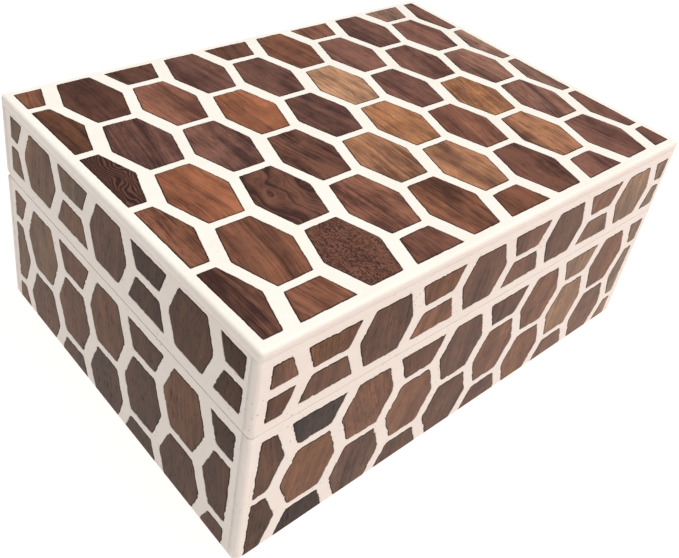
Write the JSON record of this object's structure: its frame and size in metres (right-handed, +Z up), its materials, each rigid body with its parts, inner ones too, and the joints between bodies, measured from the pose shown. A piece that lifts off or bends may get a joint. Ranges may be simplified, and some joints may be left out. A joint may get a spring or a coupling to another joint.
{
  "type": "inlaid wooden box",
  "caption": "Rectangular wooden keepsake box with a lid hinged at the back, covered on all sides with dark wood hexagon tiles set in a cream resin ground.",
  "frame": {"origin": "middle of the footprint, on the surface the box stands on", "axes": "+X along the long front, to the right of a person facing it; +Y towards the hinges at the back; +Z up"},
  "size_m": [0.178, 0.1275, 0.076],
  "materials": {
    "tile_wood": "polished dark brown hardwood, grain along each tile",
    "cream_resin": "polished cream resin, satin gloss",
    "core_wood": "oiled plain wood",
    "lining_cloth": "short velvet pile",
    "under_felt": "pressed felt",
    "hinge_brass": "lightly worn"
  },
  "bodies": {
    "base": {"base_floor": "core_wood", "base_front_wall": "core_wood", "base_back_wall": "core_wood", "base_left_wall": "core_wood", "base_right_wall": "core_wood", "base_front_ground": "cream_resin", "base_back_ground": "cream_resin", "base_left_ground": "cream_resin", "base_right_ground": "cream_resin", "base_front_tiles": "tile_wood", "base_back_tiles": "tile_wood", "base_left_tiles": "tile_wood", "base_right_tiles": "tile_wood", "base_lining": "lining_cloth", "base_felt": "under_felt", "hinge_left_base_leaf": "hinge_brass", "hinge_left_pin": "hinge_brass", "hinge_right_base_leaf": "hinge_brass", "hinge_right_pin": "hinge_brass", "hinge_base_screws": "hinge_brass"},
    "lid": {"lid_top_panel": "core_wood", "lid_front_wall": "core_wood", "lid_back_wall": "core_wood", "lid_left_wall": "core_wood", "lid_right_wall": "core_wood", "lid_top_ground": "cream_resin", "lid_front_ground": "cream_resin", "lid_back_ground": "cream_resin", "lid_left_ground": "cream_resin", "lid_right_ground": "cream_resin", "lid_top_tiles": "tile_wood", "lid_front_tiles": "tile_wood", "lid_back_tiles": "tile_wood", "lid_left_tiles": "tile_wood", "lid_right_tiles": "tile_wood", "hinge_left_lid_leaf": "hinge_brass", "hinge_right_lid_leaf": "hinge_brass", "hinge_lid_screws": "hinge_brass"}
  },
  "joints": [
    {"name": "lid_hinge", "type": "hinge", "parent": "base", "child": "lid", "pos_m": [0, 0.0625, 0.048], "axis": [-1, 0, 0], "range_deg": [0, 95]}
  ]
}
